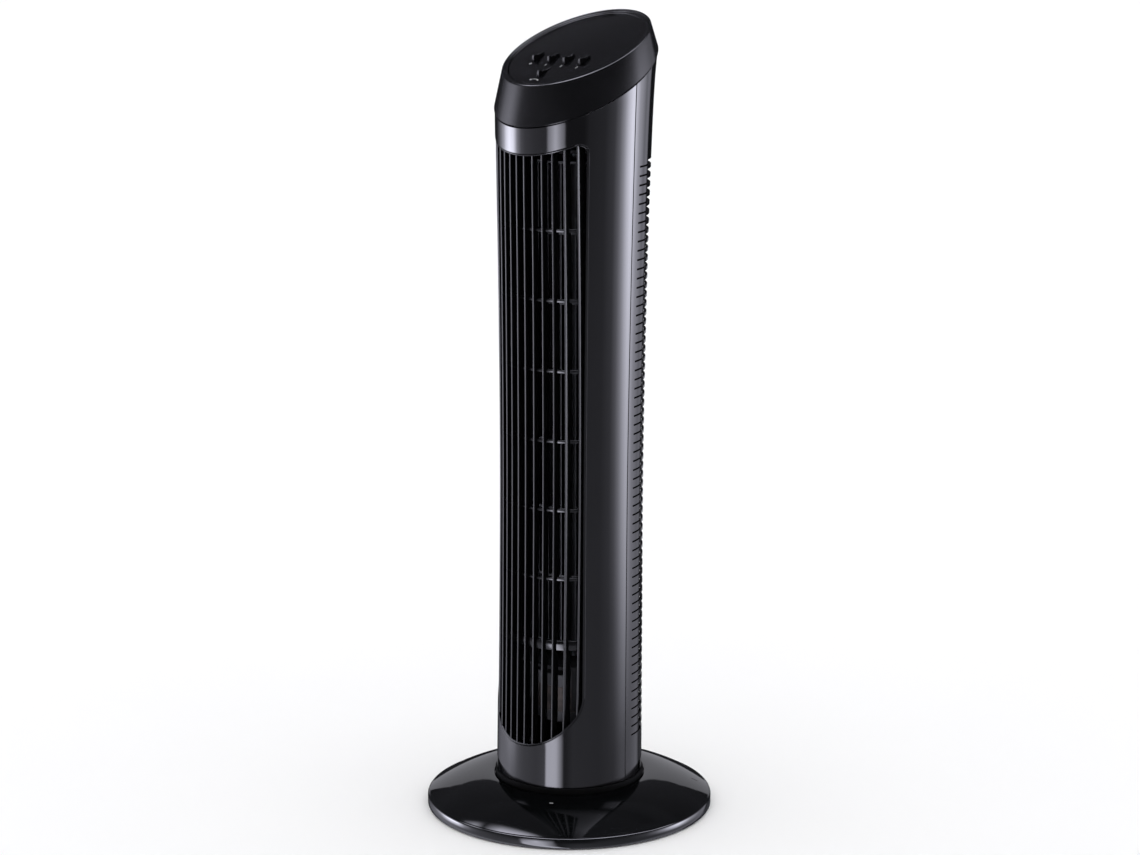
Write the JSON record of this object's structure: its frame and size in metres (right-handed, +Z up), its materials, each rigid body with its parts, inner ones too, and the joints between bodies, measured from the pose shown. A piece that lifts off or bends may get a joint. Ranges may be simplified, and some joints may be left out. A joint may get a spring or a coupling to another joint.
{
  "type": "tower fan",
  "caption": "Slim oscillating tower fan: round low base, waisted gloss tower with an upright-blade outlet grille, slotted rear inlet and a slanted head with push keys.",
  "frame": {"origin": "centre of the base on the surface the feet stand on", "axes": "+Z up, the outlet grille faces -Y at rest, +X to the right seen from the front"},
  "size_m": [0.275, 0.275, 0.7607],
  "materials": {
    "body_gloss": "polished moulded ABS, high gloss",
    "satin_black": "fine satin moulded ABS",
    "matte_black": "fine spark-textured moulding",
    "rubber_black": "moulded rubber, matte",
    "impeller_grey": "moulded polypropylene, satin",
    "nylon_white": "natural nylon, satin",
    "steel": "turned and zinc plated",
    "laminated_steel": "stamped electrical steel stack",
    "copper": "enamelled winding wire",
    "bronze": "sintered bronze, oil filled",
    "zinc": "zinc plated pressed steel"
  },
  "bodies": {
    "base": {"base_cover": "body_gloss", "base_plate": "matte_black", "cord_gland": "matte_black", "foot_pad_1": "rubber_black", "foot_pad_2": "rubber_black", "foot_pad_3": "rubber_black", "foot_pad_4": "rubber_black", "foot_pad_5": "rubber_black", "collar_ring": "matte_black", "slide_washer": "nylon_white", "swing_link_plate": "zinc", "base_screw_1": "steel", "base_screw_2": "steel", "base_screw_3": "steel"},
    "tower": {"tower_floor": "matte_black", "pivot_retainer": "steel", "swing_motor": "zinc", "front_shell": "body_gloss", "front_grille": "satin_black", "rear_shell": "body_gloss", "head_housing": "satin_black", "control_panel": "matte_black", "speed_switch": "nylon_white", "swing_switch": "nylon_white", "key_speed_0_spring": "steel", "key_speed_1_spring": "steel", "key_speed_2_spring": "steel", "key_speed_3_spring": "steel", "key_swing_spring": "steel", "motor_lower_cap": "zinc", "motor_upper_cap": "zinc", "motor_stator": "laminated_steel", "motor_winding": "copper", "motor_lower_bush": "bronze", "motor_upper_bush": "bronze", "motor_bracket": "matte_black", "upper_bush": "bronze", "upper_bearing_seat": "rubber_black", "upper_bracket": "matte_black", "duct_volute": "matte_black", "duct_tongue": "matte_black", "run_capacitor": "nylon_white", "terminal_block": "nylon_white", "inner_lead": "matte_black"},
    "impeller": {"impeller": "impeller_grey", "drive_coupling": "rubber_black", "impeller_top_pin": "steel", "motor_shaft": "steel", "motor_rotor": "laminated_steel"},
    "crank": {"swing_crank": "zinc"},
    "key_speed_0": {"key_speed_0": "satin_black"},
    "key_speed_1": {"key_speed_1": "satin_black"},
    "key_speed_2": {"key_speed_2": "satin_black"},
    "key_speed_3": {"key_speed_3": "satin_black"},
    "key_swing": {"key_swing": "satin_black"}
  },
  "joints": [
    {"name": "tower_swing", "type": "hinge", "parent": "base", "child": "tower", "pos_m": [0, 0, 0.0366], "axis": [0, 0, 1], "range_deg": [-35, 35]},
    {"name": "impeller_spin", "type": "hinge", "parent": "tower", "child": "impeller", "pos_m": [0, 0.008, 0.4], "axis": [0, 0, 1], "continuous": true},
    {"name": "crank_turn", "type": "hinge", "parent": "tower", "child": "crank", "pos_m": [0, 0.026, 0.035], "axis": [0, 0, 1], "range_deg": [-90, 90]},
    {"name": "key_speed_0_press", "type": "slide", "parent": "tower", "child": "key_speed_0", "axis": [0, 0.4122, -0.9111], "range_m": [0, 0.003], "stiffness_N_per_m": 320, "springref_m": -0.003, "deforming": ["key_speed_0_spring"]},
    {"name": "key_speed_1_press", "type": "slide", "parent": "tower", "child": "key_speed_1", "axis": [0, 0.4122, -0.9111], "range_m": [0, 0.003], "stiffness_N_per_m": 320, "springref_m": -0.003, "deforming": ["key_speed_1_spring"]},
    {"name": "key_speed_2_press", "type": "slide", "parent": "tower", "child": "key_speed_2", "axis": [0, 0.4122, -0.9111], "range_m": [0, 0.003], "stiffness_N_per_m": 320, "springref_m": -0.003, "deforming": ["key_speed_2_spring"]},
    {"name": "key_speed_3_press", "type": "slide", "parent": "tower", "child": "key_speed_3", "axis": [0, 0.4122, -0.9111], "range_m": [0, 0.003], "stiffness_N_per_m": 320, "springref_m": -0.003, "deforming": ["key_speed_3_spring"]},
    {"name": "key_swing_press", "type": "slide", "parent": "tower", "child": "key_swing", "axis": [0, 0.4122, -0.9111], "range_m": [0, 0.003], "stiffness_N_per_m": 320, "springref_m": -0.003, "deforming": ["key_swing_spring"]}
  ],
  "couplings": [
    {"joint": "crank_turn", "follows": "tower_swing", "ratio": -2.5714}
  ]
}
